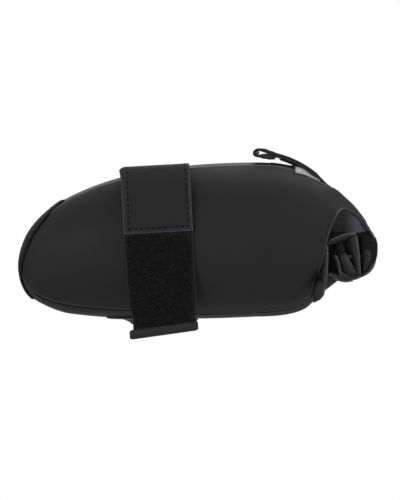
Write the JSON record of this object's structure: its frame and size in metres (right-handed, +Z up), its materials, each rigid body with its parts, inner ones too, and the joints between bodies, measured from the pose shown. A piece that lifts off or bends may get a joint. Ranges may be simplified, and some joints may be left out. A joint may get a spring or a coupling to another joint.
{
  "type": "saddle bag",
  "caption": "Roll-closure bicycle saddle bag in black coated fabric, hung from the saddle rails by a hook-and-loop belt.",
  "frame": {"origin": "middle of the rail seat, between the two saddle rails under the belt", "axes": "+X to the rear of the bicycle, along the bag from nose to roll; +Y to the bicycle's right; +Z up"},
  "size_m": [0.224, 0.0896, 0.1164],
  "materials": {
    "coated_fabric": "matt polyurethane-coated fabric",
    "top_fabric": "satin coated fabric",
    "base_fabric": "matt coated fabric",
    "nose_coating": "smooth black grip coating",
    "board": "matt polyethylene sheet",
    "reflective": "silver retro-reflective fabric",
    "loop_tape": "brushed loop pile",
    "hook_tape": "nylon hook tape",
    "belt_fabric": "matt coated fabric",
    "thread": "bonded polyester thread",
    "roll_fabric": "matt coated fabric, rolled",
    "webbing": "woven polyester webbing"
  },
  "bodies": {
    "bag": {"left_side_panel": "coated_fabric", "right_side_panel": "coated_fabric", "top_panel": "top_fabric", "bottom_panel": "base_fabric", "nose_panel": "base_fabric", "nose_patch": "nose_coating", "base_board": "board", "reflective_patch": "reflective", "closure_loop_tape": "loop_tape", "belt_centre": "belt_fabric", "belt_centre_stitching": "thread"},
    "near_belt": {"near_band": "belt_fabric", "near_reinforcement": "belt_fabric", "near_loop_tape": "loop_tape", "near_stitching": "thread"},
    "near_tail": {"near_tail_band": "belt_fabric", "near_tail_tape": "loop_tape", "near_end_tab": "belt_fabric"},
    "far_belt": {"far_band": "belt_fabric", "far_reinforcement": "belt_fabric", "far_stitching": "thread"},
    "far_tail": {"far_tail_band": "belt_fabric", "far_hook_tape": "hook_tape", "far_end_tab": "belt_fabric"},
    "roll": {"rear_flap": "coated_fabric", "rear_lower_flap": "base_fabric", "left_gusset": "roll_fabric", "right_gusset": "roll_fabric", "roll_outer": "roll_fabric", "roll_inner": "roll_fabric", "lip_stiffener": "board", "closure_wrap": "webbing", "closure_wrap_stitching": "thread"},
    "tab": {"closure_tab": "webbing", "pull_loop": "webbing", "closure_hook_tape": "hook_tape", "closure_tab_stitching": "thread"}
  },
  "joints": [
    {"name": "near_belt_lift", "type": "hinge", "parent": "bag", "child": "near_belt", "pos_m": [-0.00059, -0.03191, -0.0009], "axis": [-0.9976, 0, -0.0698], "range_deg": [0, 100]},
    {"name": "near_tail_fold", "type": "hinge", "parent": "near_belt", "child": "near_tail", "pos_m": [0.00511, -0.04157, -0.08244], "axis": [0.9976, 0, 0.0698], "range_deg": [0, 45]},
    {"name": "far_belt_lift", "type": "hinge", "parent": "bag", "child": "far_belt", "pos_m": [-0.00059, 0.03191, -0.0009], "axis": [0.9976, 0, 0.0698], "range_deg": [0, 100]},
    {"name": "far_tail_fold", "type": "hinge", "parent": "far_belt", "child": "far_tail", "pos_m": [0.00558, 0.04327, -0.08902], "axis": [0.9976, 0, 0.0698], "range_deg": [0, 95]},
    {"name": "roll_open", "type": "hinge", "parent": "bag", "child": "roll", "pos_m": [0.1073, 0, -0.0069], "axis": [0, -1, 0], "range_deg": [0, 60]},
    {"name": "tab_peel", "type": "hinge", "parent": "bag", "child": "tab", "pos_m": [0.1069, 0, -0.007], "axis": [0, 1, 0], "range_deg": [0, 100]}
  ]
}
